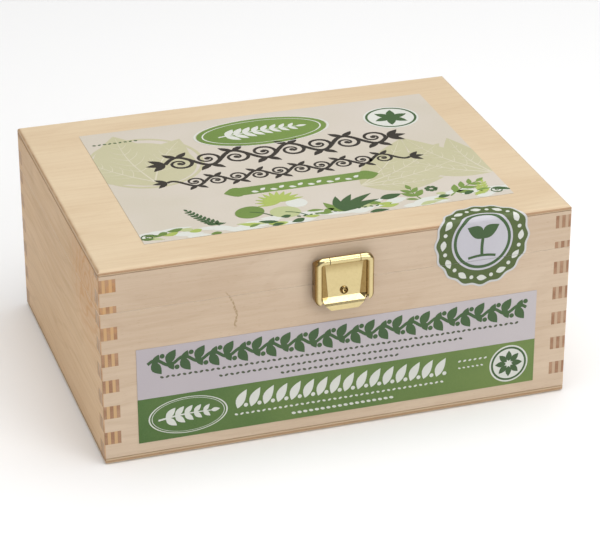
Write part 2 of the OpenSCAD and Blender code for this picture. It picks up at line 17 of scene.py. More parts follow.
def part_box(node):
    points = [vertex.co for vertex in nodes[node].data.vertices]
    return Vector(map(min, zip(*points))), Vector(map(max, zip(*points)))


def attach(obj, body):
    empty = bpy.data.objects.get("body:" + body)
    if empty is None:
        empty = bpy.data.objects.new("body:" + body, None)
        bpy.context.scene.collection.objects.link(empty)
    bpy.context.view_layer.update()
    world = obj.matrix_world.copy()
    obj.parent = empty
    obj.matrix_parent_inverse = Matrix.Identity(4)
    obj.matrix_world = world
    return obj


MM = 0.001
HALF_W, HALF_D, BOX_TOP = 100.0, 75.0, 87.0
WALL_T, LID_T, BASE_T, PAPER_T = 7.0, 2.2, 3.0, 0.2
SEAM = (68.2, 68.35)
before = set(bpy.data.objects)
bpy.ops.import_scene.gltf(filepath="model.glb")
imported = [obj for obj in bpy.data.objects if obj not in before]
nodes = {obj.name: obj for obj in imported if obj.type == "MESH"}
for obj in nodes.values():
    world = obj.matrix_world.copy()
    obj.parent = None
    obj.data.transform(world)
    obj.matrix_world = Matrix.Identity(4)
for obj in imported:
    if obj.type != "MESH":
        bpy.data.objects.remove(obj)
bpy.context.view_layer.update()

# %% [markdown]
# ## Camera
# The photograph was taken with a long lens from the left, a little above the box.
# A camera can be aimed by hand, but here its three axes were solved from the box's
# corners in the picture, so the corners fall where they do there. The rows are the
# picture's right, down and viewing directions.

# %% Camera
CAMERA_AT, FOCAL_MM = (-0.28690, -0.91723, 0.51688), 148.524
lens = bpy.data.cameras.new("camera")
lens.sensor_width = 36.0
lens.lens = FOCAL_MM
lens.clip_start, lens.clip_end = 0.05, 20.0
camera = bpy.data.objects.new("camera", lens)
bpy.context.scene.collection.objects.link(camera)
bpy.context.scene.camera = camera

right = Vector((0.9522089, -0.3054443, -0.0014205))
down = Vector((-0.1377806, -0.4253650, -0.8944726))
ahead = Vector((0.2726073, 0.8519205, -0.4471206))
turn = Matrix((right, -down, -ahead)).transposed()
camera.matrix_world = Matrix.Translation(CAMERA_AT) @ turn.to_4x4()
print("camera distance:", round(camera.matrix_world.translation.length, 3), "m")

# %% [markdown]
# ## Floor and light
# The box stands on a white table under large soft lamps, which leave almost no
# shadow. A small bright lamp would draw hard edges on the wood and burn spots into
# the brass, so the light comes from one wide panel overhead and one on the right,
# with a faint warm one from the left. The room itself is grey, because polished
# brass needs something darker to show.

# %% Studio
def soft_panel(name, place, aim, size, power):
    data = bpy.data.lights.new(name, "AREA")
    data.shape = "RECTANGLE"
    data.size, data.size_y = size
    data.energy = power
    lamp = bpy.data.objects.new(name, data)
    bpy.context.scene.collection.objects.link(lamp)
    lamp.location = place
    lamp.rotation_euler = (Vector(aim) - Vector(place)).to_track_quat("-Z", "Y").to_euler()
    return lamp


overhead = soft_panel("overhead", (0.1, -0.1, 1.3), (0, 0, 0.05), (1.8, 1.5), 19.5)
front_right = soft_panel("front_right", (0.8, -1.3, 0.7), (0, 0, 0.04), (0.9, 0.9), 8)
warm_left = soft_panel("warm_left", (-1.3, -0.2, 0.5), (0, 0, 0.04), (0.7, 0.7), 1.1)
warm_left.data.color = (1.0, 0.84, 0.64)

ROOM_LIGHT, TABLE_HALF = 0.30, 4.0
room = bpy.data.worlds.new("room")
bpy.context.scene.world = room
room.use_nodes = True
room.node_tree.nodes["Background"].inputs["Color"].default_value = (1, 1, 1, 1)
room.node_tree.nodes["Background"].inputs["Strength"].default_value = ROOM_LIGHT
bpy.context.scene.view_settings.view_transform = "Standard"

table_shape = bmesh.new()
bmesh.ops.create_grid(table_shape, x_segments=1, y_segments=1, size=TABLE_HALF)
table_mesh = bpy.data.meshes.new("table")
table_shape.to_mesh(table_mesh)
table_shape.free()
table = bpy.data.objects.new("table", table_mesh)
bpy.context.scene.collection.objects.link(table)
print("lamps:", overhead.name, front_right.name, warm_left.name)

# %% [markdown]
# ## Words for node trees
# A material is a graph of small sums and patterns. Clicking it together is fine for
# one, but this box needs two dozen that share their parts, so a few short functions
# place a node and wire it at once. Sockets are passed on as if they were numbers.

# %% Node helpers
def put(tree, kind, sockets=None, **settings):
    node = tree.nodes.new(kind)
    for name, value in settings.items():
        setattr(node, name, value)
    for key, value in (sockets or {}).items():
        if isinstance(value, bpy.types.NodeSocket):
            tree.links.new(value, node.inputs[key])
        else:
            node.inputs[key].default_value = value
    return node


def calc(tree, operation, *terms, clamp=False):
    sockets = dict(enumerate(terms))
    return put(tree, "ShaderNodeMath", sockets, operation=operation, use_clamp=clamp).outputs[0]


def plus(tree, first, *others):
    for other in others:
        first = calc(tree, "ADD", first, other)
    return first


def times(tree, first, *others):
    for other in others:
        first = calc(tree, "MULTIPLY", first, other)
    return first


def fade(tree, value, start, end, low=0.0, high=1.0):
    sockets = {0: value, 1: start, 2: end, 3: low, 4: high}
    return put(tree, "ShaderNodeMapRange", sockets, interpolation_type="SMOOTHSTEP").outputs[0]


def stretched(tree, place, scale):
    return put(tree, "ShaderNodeVectorMath", {0: place, 1: scale}, operation="MULTIPLY").outputs[0]


def noise(tree, place, scale, detail=2.0, roughness=0.5):
    sockets = {"Vector": place, "Scale": scale, "Detail": detail, "Roughness": roughness}
    return put(tree, "ShaderNodeTexNoise", sockets).outputs[0]


def tint(tree, amount, start, end, how="MIX"):
    sockets = {0: amount, 6: start, 7: end}
    return put(tree, "ShaderNodeMix", sockets, data_type="RGBA", blend_type=how).outputs[2]


def joined(tree, x, y, z=0.0):
    return put(tree, "ShaderNodeCombineXYZ", {0: x, 1: y, 2: z}).outputs[0]


def object_place(tree):
    """The point on the object, in millimetres."""
    return stretched(tree, put(tree, "ShaderNodeTexCoord").outputs["Object"], (1 / MM, 1 / MM, 1 / MM))


def object_normal(tree):
    return put(tree, "ShaderNodeTexCoord").outputs["Normal"]


def relief(tree, height, strength, deep):
    """A bump of the given depth in millimetres."""
    sockets = {"Strength": strength, "Distance": deep * MM, "Height": height}
    return put(tree, "ShaderNodeBump", sockets).outputs[0]


def new_material(name):
    material = bpy.data.materials.new(name)
    material.use_nodes = True
    return material, material.node_tree, material.node_tree.nodes["Principled BSDF"]


def split(tree, vector):
    return put(tree, "ShaderNodeSeparateXYZ", {0: vector}).outputs


def group(name, inputs, outputs):
    tree = bpy.data.node_groups.new(name, "ShaderNodeTree")
    for side, sockets in (("INPUT", inputs), ("OUTPUT", outputs)):
        for label, kind in sockets.items():
            tree.interface.new_socket(label, in_out=side, socket_type="NodeSocket" + kind)
    return tree, tree.nodes.new("NodeGroupInput").outputs, tree.nodes.new("NodeGroupOutput").inputs


def rgb(red, green, blue):
    """A screen colour from 0 to 255 as the linear colour that Blender mixes with."""
    return tuple(((c / 255 + 0.055) / 1.055) ** 2.4 for c in (red, green, blue)) + (1.0,)


print("a mid grey of 128 is", round(rgb(128, 128, 128)[0], 3), "in linear light")

# %% [markdown]
# ## Plywood
# Plywood is a stack of thin veneers, each turned a quarter against the next. On a
# board's face only long grain shows, while its edge shows every second veneer end
# on, which is what stripes the fingers at the corners. A photograph of wood would
# stop at each edge. Built from the board's own axes, along the grain, across it and
# into the sheet, the pattern runs through the solid: the ply under a point and the
# way the surface faces there decide between long grain and end grain.

# %% Plywood pattern
plywood, given, wanted = group(
    "plywood",
    {"Place": "Vector", "Facing": "Vector", "Sheet": "Float", "Plies": "Float",
     "Face": "Color", "Deep": "Color", "End grain": "Color", "Figure": "Float"},
    {"Colour": "Color", "Roughness": "Float", "Height": "Float"},
)
t = plywood
spot = split(t, given["Place"])
facing = [calc(t, "ABSOLUTE", f) for f in split(t, given["Facing"])]

# Which veneer, a hair inside the outermost faces, and whether its grain runs across
HAIR = 0.001
layer = calc(t, "DIVIDE", times(t, spot[2], given["Plies"]), given["Sheet"])
layer = calc(t, "MINIMUM", calc(t, "MAXIMUM", layer, HAIR), calc(t, "SUBTRACT", given["Plies"], HAIR))
ply = calc(t, "FLOOR", layer)
crosswise = calc(t, "PINGPONG", ply, 1.0)
lengthwise = calc(t, "SUBTRACT", 1.0, crosswise)
end_on = plus(t, times(t, facing[0], lengthwise), times(t, facing[1], crosswise))
end_on = fade(t, end_on, 0.35, 0.75)

# The veneer's own axes, moved aside for each ply so that no two look alike
swap = times(t, calc(t, "SUBTRACT", spot[1], spot[0]), crosswise)
own_along = plus(t, spot[0], swap)
own_across = plus(t, calc(t, "SUBTRACT", spot[1], swap), times(t, ply, 31.7))
own = joined(t, own_along, own_across, spot[2])

streaks = noise(t, stretched(t, own, (0.028, 0.62, 0.62)), 1.0, 4.0, 0.62)
pores = noise(t, stretched(t, own, (0.22, 3.2, 3.2)), 1.0, 2.0, 0.6)
clouds = noise(t, stretched(t, own, (0.012, 0.034, 0.034)), 1.0, 2.0, 0.5)
rings = plus(t, times(t, own_across, 0.55), times(t, clouds, 34.0))
rings = fade(t, calc(t, "SINE", rings), 0.55, 1.0)
cells = put(t, "ShaderNodeTexVoronoi", {"Vector": stretched(t, own, (0.30, 2.1, 2.1)), "Scale": 1.0})
chosen = fade(t, split(t, cells.outputs["Color"])[0], 0.62, 0.74)
fleck = times(t, fade(t, cells.outputs["Distance"], 0.26, 0.10), chosen)

# Long grain: a light ground that deepens in streaks, rings and flecks
depth = plus(
    t,
    times(t, fade(t, streaks, 0.36, 0.70), 0.20),
    times(t, fade(t, clouds, 0.38, 0.66), 0.32),
    times(t, rings, given["Figure"]),
    times(t, fleck, 0.40),
)
depth = calc(t, "ADD", depth, times(t, calc(t, "SUBTRACT", pores, 0.5), 0.35), clamp=True)
long_grain = tint(t, depth, given["Face"], given["Deep"])
from_top = calc(t, "SUBTRACT", given["Plies"], layer)
core = times(t, fade(t, layer, 0.95, 1.05), fade(t, from_top, 0.95, 1.05))
long_grain = tint(t, times(t, core, 0.8), long_grain, given["Deep"])

# End grain: darker, speckled and different from veneer to veneer, with a thin glue
# line between them
speckle = noise(t, given["Place"], 2.6, 2.0, 0.7)
batch = noise(t, joined(t, ply, times(t, spot[1], 0.085)), 1.7, 1.0, 0.5)
shade = plus(t, times(t, fade(t, speckle, 0.35, 0.70), 0.35), fade(t, batch, 0.38, 0.62, 0.0, 0.65))
dark_end = tint(t, 1.0, given["End grain"], rgb(212, 196, 186), "MULTIPLY")
cut_ends = tint(t, shade, given["End grain"], dark_end)
glue = calc(t, "ABSOLUTE", calc(t, "SUBTRACT", layer, calc(t, "ROUND", layer)))
glue = times(t, fade(t, glue, 0.09, 0.03), fade(t, facing[2], 0.6, 0.2))
wood_colour = tint(t, end_on, long_grain, cut_ends)
wood_colour = tint(t, times(t, glue, 0.35), wood_colour, rgb(130, 92, 66))

t.links.new(wood_colour, wanted["Colour"])
rough = plus(t, fade(t, streaks, 0.2, 0.8, 0.46, 0.62), times(t, end_on, 0.15))
height = calc(t, "SUBTRACT", plus(t, pores, times(t, speckle, end_on)), fleck)
t.links.new(rough, wanted["Roughness"])
t.links.new(height, wanted["Height"])
print("plywood group:", len(t.nodes), "nodes")

# %% [markdown]
# ## Sanded edges
# A machine takes the sharp edges off, and hands and shelves do the rest, so the
# rounded edges are a little browner than the faces. They could be painted by hand.
# Here the surface gives itself away: on a flat face the normal lies along one axis,
# and only on a rounding do two of its numbers share it.

# %% Edge mask
sanded, given, wanted = group("sanded_edges", {"Facing": "Vector", "Place": "Vector"}, {"Rub": "Float"})
t = sanded
facing = [calc(t, "ABSOLUTE", f) for f in split(t, given["Facing"])]
flatness = calc(t, "MAXIMUM", calc(t, "MAXIMUM", facing[0], facing[1]), facing[2])
patchy = noise(t, given["Place"], 0.16, 3.0, 0.6)
rub = times(t, fade(t, flatness, 0.995, 0.80), fade(t, patchy, 0.3, 0.62, 0.35, 1.0))
t.links.new(rub, wanted["Rub"])
print("edge group:", len(t.nodes), "nodes")

# %% [markdown]
# ## The six boards
# The long walls have their grain along the box's width and the short ones along its
# depth, so their fingers show opposite veneers, as on the real corners. One function
# makes each board's material: it hands the group that board's axes, its thickness
# and its count of veneers. The lid rails are sawn from the same boards and share
# them, so the figure runs on across the seam.

# %% Board materials
def board_axes(tree, along, across, into, inner):
    """Place and normal, each as (along the grain, across it, into the sheet)."""
    place, face = split(tree, object_place(tree)), split(tree, object_normal(tree))
    into_sheet = calc(tree, "SUBTRACT", calc(tree, "ABSOLUTE", place[into]), inner)
    return (joined(tree, place[along], place[across], into_sheet),
            joined(tree, face[along], face[across], face[into]))


def board_material(name, axes, inner, sheet, plies, face, deep, end, figure, move):
    material, tree, shader = new_material(name)
    place, facing = board_axes(tree, *axes, inner)
    shifted = put(tree, "ShaderNodeVectorMath", {0: place, 1: move}, operation="ADD").outputs[0]
    wood = put(tree, "ShaderNodeGroup", {
        "Place": shifted, "Facing": facing, "Sheet": sheet, "Plies": plies,
        "Face": face, "Deep": deep, "End grain": end, "Figure": figure}, node_tree=plywood)
    edges = put(tree, "ShaderNodeGroup", {"Place": shifted, "Facing": facing}, node_tree=sanded)
    colour = tint(tree, times(tree, edges.outputs["Rub"], 0.35), wood.outputs["Colour"], end)
    tree.links.new(colour, shader.inputs["Base Color"])
    tree.links.new(wood.outputs["Roughness"], shader.inputs["Roughness"])
    tree.links.new(relief(tree, wood.outputs["Height"], 0.35, 0.08), shader.inputs["Normal"])
    shader.inputs["Specular IOR Level"].default_value = 0.35
    return material, place


WIDE, DEEP, UP = 0, 1, 2
LONG_WALL, SHORT_WALL, FLAT = (WIDE, UP, DEEP), (DEEP, UP, WIDE), (WIDE, DEEP, UP)
LONG_INNER, SHORT_INNER, LID_INNER = HALF_D - WALL_T, HALF_W - WALL_T, BOX_TOP - LID_T
WALL_PLIES, PANEL_PLIES = 5.0, 3.0
wall_tones = rgb(209, 188, 164), rgb(185, 158, 131)
# The left board's warmer tones are partly its own colour and partly painted warm light falling on that
# side.
left_tones_and_warm_light = rgb(220, 188, 148), rgb(194, 158, 114)
panel_tones = rgb(214, 194, 163), rgb(196, 169, 136), rgb(194, 164, 130)
# The front and back boards' lighter end grain, seen on the sides, is partly its own colour and partly
# painted sheen at the grazing view.
finger_end, side_end_and_sheen = rgb(178, 142, 114), rgb(214, 178, 142)

front_board, front_place = board_material(
    "front_board", LONG_WALL, LONG_INNER, WALL_T, WALL_PLIES, *wall_tones, side_end_and_sheen, 0.12,
    (7.0, 3.0, 0.0))
back_board, back_place = board_material(
    "back_board", LONG_WALL, LONG_INNER, WALL_T, WALL_PLIES, *wall_tones, side_end_and_sheen, 0.16,
    (431.0, 57.0, 0.0))
left_board, left_place = board_material(
    "left_board", SHORT_WALL, SHORT_INNER, WALL_T, WALL_PLIES, *left_tones_and_warm_light, finger_end, 0.18,
    (-318.0, 141.0, 0.0))
right_board, right_place = board_material(
    "right_board", SHORT_WALL, SHORT_INNER, WALL_T, WALL_PLIES, *wall_tones, finger_end, 0.14,
    (-77.0, 260.0, 0.0))
lid_sheet, lid_place = board_material(
    "lid_sheet", FLAT, LID_INNER, LID_T, PANEL_PLIES, *panel_tones, 0.10, (52.0, -11.0, 0.0))
base_sheet, base_place = board_material(
    "base_sheet", FLAT, 0.0, BASE_T, PANEL_PLIES, *panel_tones, 0.10, (-214.0, 88.0, 0.0))
boards = (front_board, back_board, left_board, right_board, lid_sheet, base_sheet)
print("boards:", [board.name for board in boards])

# %% [markdown]
# ## Marks in the wood
# The front board has a thin brown mineral streak, a shallow arc that the saw cut in
# two, and the left board is warmer near its upper front corner, where a knot sits
# deeper in the wood. The sawn faces inside the seam are painted almost white, as
# painted light against the shade in the narrow gap. The thin panels are painted
# browner along the joint with the walls, as painted shade running into the groove
# there. All could be modelled or painted. As distances worked out from the same
# board axes, they stay sharp at any size.

# %% Streak, warm corner, seam light and joint shade
def recolour(material, amount, after):
    """Lays one more colour over what the material already shows."""
    tree = material.node_tree
    shader = tree.nodes["Principled BSDF"]
    before = shader.inputs["Base Color"].links[0].from_socket
    tree.links.new(tint(tree, amount, before, after), shader.inputs["Base Color"])


STREAK_X, STREAK_Z, STREAK_BOW, STREAK_MIDDLE = -44.1, 59.0, 0.031, 62.0
t = front_board.node_tree
x, z, into = split(t, front_place)
rise = calc(t, "SUBTRACT", z, STREAK_Z)
arc = plus(t, times(t, rise, rise, STREAK_BOW), -STREAK_X)
wobble = times(t, calc(t, "SUBTRACT", noise(t, front_place, 0.5, 2.0, 0.6), 0.5), 2.0)
off = calc(t, "ABSOLUTE", plus(t, x, arc, wobble))
from_middle = calc(t, "ABSOLUTE", calc(t, "SUBTRACT", z, STREAK_MIDDLE))
broken = fade(t, noise(t, front_place, 1.3, 2.0, 0.6), 0.30, 0.55)
outside = calc(t, "GREATER_THAN", into, WALL_T - 0.5)
in_front = calc(t, "LESS_THAN", split(t, object_place(t))[1], 0.0)
streak = times(t, fade(t, off, 0.60, 0.15), fade(t, from_middle, 9.0, 7.0), broken, outside, in_front)
recolour(front_board, times(t, streak, 0.7), rgb(150, 122, 80))

KNOT = (-55.0, 73.0, WALL_T)
t = left_board.node_tree
away = put(t, "ShaderNodeVectorMath", {0: left_place, 1: KNOT}, operation="DISTANCE").outputs["Value"]
drawn_out = noise(t, stretched(t, left_place, (0.03, 0.09, 0.09)), 1.0, 2.0, 0.5)
swirl = plus(t, away, times(t, drawn_out, 26.0))
swirl = fade(t, calc(t, "SINE", times(t, swirl, 1.15)), 0.2, 1.0, 0.36, 0.85)
recolour(left_board, times(t, fade(t, away, 38.0, 6.0), swirl), rgb(204, 150, 92))

# Painted light: the sawn faces inside the seam gap are painted almost white, against the shade in the gap.
SEAM_PAINTED_LIGHT, SEAM_MIDDLE = rgb(246, 232, 212), sum(SEAM) / 2
walls = ((front_board, front_place), (back_board, back_place),
         (left_board, left_place), (right_board, right_place))
for board, place in walls:
    t = board.node_tree
    from_seam = calc(t, "ABSOLUTE", calc(t, "SUBTRACT", split(t, place)[1], SEAM_MIDDLE))
    recolour(board, fade(t, from_seam, 0.14, 0.09, 0.0, 0.75), SEAM_PAINTED_LIGHT)

# Painted shade: the panel edges are painted browner near the joint with the walls, where shade falls into
# the groove.
JOINT_PAINTED_SHADE = rgb(138, 102, 76)
for board, place, joint in ((lid_sheet, lid_place, 0.0), (base_sheet, base_place, BASE_T)):
    t = board.node_tree
    from_joint = calc(t, "ABSOLUTE", calc(t, "SUBTRACT", split(t, place)[2], joint))
    facing_up = calc(t, "ABSOLUTE", split(t, object_normal(t))[2])
    shade = times(t, fade(t, from_joint, 1.1, 0.3), fade(t, calc(t, "SUBTRACT", 1.0, facing_up), 0.2, 0.7))
    recolour(board, times(t, shade, 0.40), JOINT_PAINTED_SHADE)
print("marks on:", front_board.name, left_board.name, lid_sheet.name, base_sheet.name)

# %% [markdown]
# ## Metal
# The catch is thin brass, pressed, polished and lacquered; its pins and the spring
# tongue are drawn steel. Polish is never even: there are duller patches and fine
# lines along the way the sheet was rolled. A group gives both metals these two
# masks, and each metal decides what to do with them. Each metal is also painted
# darker towards the wood, on its steep sides and in the sunk middle under the hinge
# barrel. Under the barrel this is painted shadow. On the steep sides it is painted shade
# and painted dark reflection of the wood and the room. Towards the wood it is partly
# brown tarnish, where no cloth reaches, and partly painted shade.

# %% Metal wear pattern
metal_wear, given, wanted = group(
    "metal_wear", {"Place": "Vector", "Lines": "Vector"}, {"Dull": "Float", "Scratch": "Float"})
t = metal_wear
lines = stretched(t, given["Place"], given["Lines"])
t.links.new(fade(t, noise(t, given["Place"], 0.9, 4.0, 0.65), 0.40, 0.75), wanted["Dull"])
t.links.new(noise(t, lines, 1.0, 3.0, 0.7), wanted["Scratch"])


# The catch in millimetres: depths of its beads, its sunk middle, its rim and the wood,
# and the heights between which the shade of the hinge barrel fades
BEADS_Y, MIDDLE_Y, RIM_Y, WOOD_Y = -79.6, -78.9, -78.2, -75.6
SHADE_LOW, SHADE_HIGH = 73.0, 78.4


def metal_material(name, bright, deep, polish, dullness, lines):
    material, tree, shader = new_material(name)
    place = object_place(tree)
    node = put(tree, "ShaderNodeGroup", {"Place": place, "Lines": lines}, node_tree=metal_wear)
    dull, scratch = node.outputs["Dull"], node.outputs["Scratch"]
    depth, height = split(tree, place)[1], split(tree, place)[2]
    sideways = calc(tree, "ABSOLUTE", split(tree, object_normal(tree))[0])
    in_front = calc(tree, "LESS_THAN", depth, 0.0)
    recess = times(tree, fade(tree, depth, BEADS_Y, MIDDLE_Y), in_front)
    # Painted shade and tarnish: darker towards the wood (partly tarnish, partly painted shade), painted
    # dark reflection on steep sides and on the sunk middle's sloping walls, and painted shadow under the
    # hinge barrel.
    tarnish_and_painted_shade = (
        times(tree, fade(tree, depth, RIM_Y, WOOD_Y, 0.0, 0.9), in_front),
        fade(tree, sideways, 0.20, 0.70, 0.0, 0.80),
        times(tree, fade(tree, sideways, 0.04, 0.13, 0.0, 0.80), recess),
        times(tree, fade(tree, height, SHADE_LOW, SHADE_HIGH, 0.05, 0.55), recess),
    )
    amount = 0.0
    for darkening in tarnish_and_painted_shade:
        amount = calc(tree, "MAXIMUM", amount, darkening)
    amount = calc(tree, "ADD", times(tree, dull, 0.10), amount, clamp=True)
    tree.links.new(tint(tree, amount, bright, deep), shader.inputs["Base Color"])
    rough = plus(tree, times(tree, dull, dullness), times(tree, scratch, dullness))
    tree.links.new(plus(tree, rough, polish), shader.inputs["Roughness"])
    tree.links.new(relief(tree, scratch, 0.05, 0.03), shader.inputs["Normal"])
    shader.inputs["Metallic"].default_value = 1.0
    return material


# The second colour of each metal is its tarnish and also its painted shade and painted dark reflection.
brass = metal_material("polished_brass", rgb(216, 198, 148), rgb(132, 100, 46), 0.12, 0.05, (0.5, 6.0, 6.0))
steel = metal_material("drawn_steel", rgb(205, 204, 200), rgb(140, 136, 130), 0.22, 0.16, (0.3, 9.0, 9.0))
print("metals:", brass.name, steel.name)

# %% [markdown]
# ## Paper and ink
# The labels are coated paper stuck on the wood: nearly flat, with a faint tooth and
# the print's slow drift in tone. One group makes the tooth for bare paper and for
# every ink, and a second tint lets each colour drift across the label. The long
# label's green field is printed on the sheet itself, so its material changes colour
# at that height.

# %% Paper pattern
paper_tooth, given, wanted = group(
    "paper_tooth", {"Place": "Vector", "Light": "Color", "Dark": "Color", "Drift": "Float"},
    {"Colour": "Color", "Roughness": "Float", "Height": "Float"})
t = paper_tooth
fibres = noise(t, given["Place"], 2.4, 4.0, 0.65)
slow = noise(t, given["Place"], 0.028, 2.0, 0.5)
drift = plus(t, given["Drift"], times(t, calc(t, "SUBTRACT", slow, 0.5), 1.2))
drift = calc(t, "ADD", drift, times(t, calc(t, "SUBTRACT", fibres, 0.5), 0.5), clamp=True)
t.links.new(tint(t, drift, given["Light"], given["Dark"]), wanted["Colour"])
t.links.new(fade(t, fibres, 0.2, 0.8, 0.42, 0.60), wanted["Roughness"])
t.links.new(fibres, wanted["Height"])


LABEL_LENGTH, EVEN = 170.0, 0.5


def printed_tone(tree, light, dark, across):
    """Across is how much the tone drifts from the left end of the box to the right."""
    place = object_place(tree)
    drift = calc(tree, "MULTIPLY_ADD", split(tree, place)[0], -across / LABEL_LENGTH, EVEN)
    sockets = {"Place": place, "Light": light, "Dark": dark, "Drift": drift}
    return put(tree, "ShaderNodeGroup", sockets, node_tree=paper_tooth)


def paper_material(name, light, dark, across=0.0):
    material, tree, shader = new_material(name)
    tooth = printed_tone(tree, light, dark, across)
    tree.links.new(tooth.outputs["Colour"], shader.inputs["Base Color"])
    tree.links.new(tooth.outputs["Roughness"], shader.inputs["Roughness"])
    tree.links.new(relief(tree, tooth.outputs["Height"], 0.15, 0.03), shader.inputs["Normal"])
    return material


other_materials = len(bpy.data.materials)
lid_paper = paper_material("lid_paper", rgb(206, 197, 188), rgb(194, 186, 168))
seal_paper = paper_material("seal_paper", rgb(206, 205, 204), rgb(190, 190, 190))
front_paper = paper_material("front_paper", rgb(189, 182, 184), rgb(180, 172, 177), 0.9)
leaf_green = paper_material("leaf_green", rgb(118, 144, 66), rgb(94, 120, 50), 0.6)
seal_green = paper_material("seal_green", rgb(82, 98, 48), rgb(70, 88, 38))
dark_green = paper_material("dark_green", rgb(62, 92, 46), rgb(50, 80, 42), 0.3)
lime_green = paper_material("lime_green", rgb(172, 186, 96), rgb(150, 168, 80))
pale_green = paper_material("pale_green", rgb(186, 190, 146), rgb(168, 178, 122))
faint_leaf = paper_material("faint_leaf", rgb(192, 187, 156), rgb(182, 178, 142))
faint_vein = paper_material("faint_vein", rgb(207, 200, 182), rgb(200, 194, 170))
dark_ink = paper_material("dark_ink", rgb(46, 38, 26), rgb(36, 30, 22))
fine_ink = paper_material("fine_ink", rgb(78, 84, 62), rgb(66, 74, 54))
pale_ink = paper_material("pale_ink", rgb(214, 215, 208), rgb(202, 204, 196))
lilac_ink = paper_material("lilac_ink", rgb(196, 194, 200), rgb(186, 184, 192))
print("papers and inks:", len(bpy.data.materials) - other_materials)

# %% Green field of the long label
FIELD_TOP = 27.7
t = front_paper.node_tree
below = calc(t, "LESS_THAN", split(t, object_place(t))[2], FIELD_TOP)
field = printed_tone(t, rgb(108, 130, 64), rgb(66, 100, 42), 0.9)
recolour(front_paper, below, field.outputs["Colour"])
print("green field up to", FIELD_TOP, "mm")

# %% [markdown]
# ## Dress the CAD solids
# The solids already have the right shape, so they only get materials, by name.

# %% Materials on the solids
looks = {
    "front_wall": front_board, "lid_front_rail": front_board,
    "back_wall": back_board, "lid_back_rail": back_board,
    "left_wall": left_board, "lid_left_rail": left_board,
    "right_wall": right_board, "lid_right_rail": right_board,
    "lid_panel": lid_sheet, "base_panel": base_sheet,
    "catch_pin": steel, "catch_tongue": steel, "left_hinge_pin": steel, "right_hinge_pin": steel,
    "front_label": front_paper, "lid_label": lid_paper,
    "seal_on_lid": seal_paper, "seal_on_body": seal_paper,
}
for name, solid in nodes.items():
    solid.data.materials.clear()
    solid.data.materials.append(looks.get(name, brass))
print("brass:", sorted(set(nodes) - set(looks)))

# %% [markdown]
# ## A print shop
# Print lies on the paper as a film of ink. A picture could be wrapped on the labels,
# but drawn shapes stay sharp at any distance. Each motif starts flat, in millimetres,
# from a circle or a grid that is bent into a leaf, a dot, a ring or a stem. The whole
# sheet is then given the ink's thickness at once and carried to where it lies.
# Motifs overlap, so neighbours lie at heights a hair apart, and stems lie above the
# leaves. All these hairs together are less than one film.

# %% Flat motifs
INK_T, LIFT = 0.02, 0.0013
LEAF_STEPS, STROKE_STEPS = 6, 9
laid = {"leaves": 0, "strokes": 0}


def stacked(verts, kind="leaves"):
    """Gives motifs small heights in turn, so that neighbours' tops don't share a plane."""
    laid[kind] += 1
    if kind == "leaves":
        step = laid[kind] % LEAF_STEPS
    else:
        step = LEAF_STEPS + laid[kind] % STROKE_STEPS
    for v in verts:
        v.co.z = step * LIFT


def polar(angle, radius):
    turned = math.radians(angle)
    return Vector((math.cos(turned), math.sin(turned))) * radius


def move_new(sheet, verts, at, angle):
    stacked(verts)
    turned = Matrix.Rotation(math.radians(angle), 3, "Z")
    bmesh.ops.rotate(sheet, verts=verts, cent=(0, 0, 0), matrix=turned)
    bmesh.ops.translate(sheet, verts=verts, vec=(at[0], at[1], 0))


def dot(sheet, at, radius, squash=1.0, angle=0.0, segments=20):
    verts = bmesh.ops.create_circle(sheet, cap_ends=True, segments=segments, radius=radius)["verts"]
    bmesh.ops.scale(sheet, verts=verts, vec=(1, squash, 1))
    move_new(sheet, verts, at, angle)


def seeds(sheet, start, count, step, radius, squash=0.6, tilts=(-24, 24), segments=10):
    """A row of small dots that lean one way and the other."""
    for k in range(count):
        dot(sheet, (start[0] + k * step, start[1]), radius, squash, tilts[k % len(tilts)], segments)


def leaf(sheet, at, angle, length, width, bend=0.0, segments=20):
    """A circle pulled long and pinched at both ends, its stalk at the given point."""
    verts = bmesh.ops.create_circle(sheet, cap_ends=True, segments=segments, radius=1.0)["verts"]
    for v in verts:
        along = (v.co.x + 1) / 2
        pinch = math.sqrt(max(1 - v.co.x * v.co.x, 0.0)) * (1.3 - 0.55 * along)
        v.co.y = v.co.y * pinch * width / 2 + bend * length * math.sin(math.pi * along)
        v.co.x = along * length
    move_new(sheet, verts, at, angle)


def ring(sheet, at, inner, outer, squash=1.0, segments=48):
    rims = [bmesh.ops.create_circle(sheet, segments=segments, radius=r)["verts"] for r in (inner, outer)]
    edges = list({e for rim in rims for v in rim for e in v.link_edges})
    bmesh.ops.bridge_loops(sheet, edges=edges)
    verts = rims[0] + rims[1]
    stacked(verts)
    bmesh.ops.scale(sheet, verts=verts, vec=(1, squash, 1))
    bmesh.ops.translate(sheet, verts=verts, vec=(at[0], at[1], 0))


def stroke(sheet, path, thick, steps=24, taper=0.0):
    """A thin grid laid along a path, a function from 0 to 1 that gives a point."""
    verts = bmesh.ops.create_grid(sheet, x_segments=steps, y_segments=1, size=1.0)["verts"]
    for v in verts:
        share = (v.co.x + 1) / 2
        here = Vector(path(share))
        ahead_of = Vector(path(min(share + 0.01, 1.0))) - Vector(path(max(share - 0.01, 0.0)))
        side = Vector((-ahead_of.y, ahead_of.x)).normalized()
        half = thick / 2 * (1 - taper * share) * (1 if v.co.y > 0 else -1)
        v.co.x, v.co.y = here + side * half
    stacked(verts, "strokes")


def curve(start, end, sag=0.0):
    """A path from one point to another, bowed sideways by a share of its length."""
    start, end = Vector(start), Vector(end)
    side = Vector((start.y - end.y, end.x - start.x)) * sag
    return lambda share: start.lerp(end, share) + side * math.sin(math.pi * share)


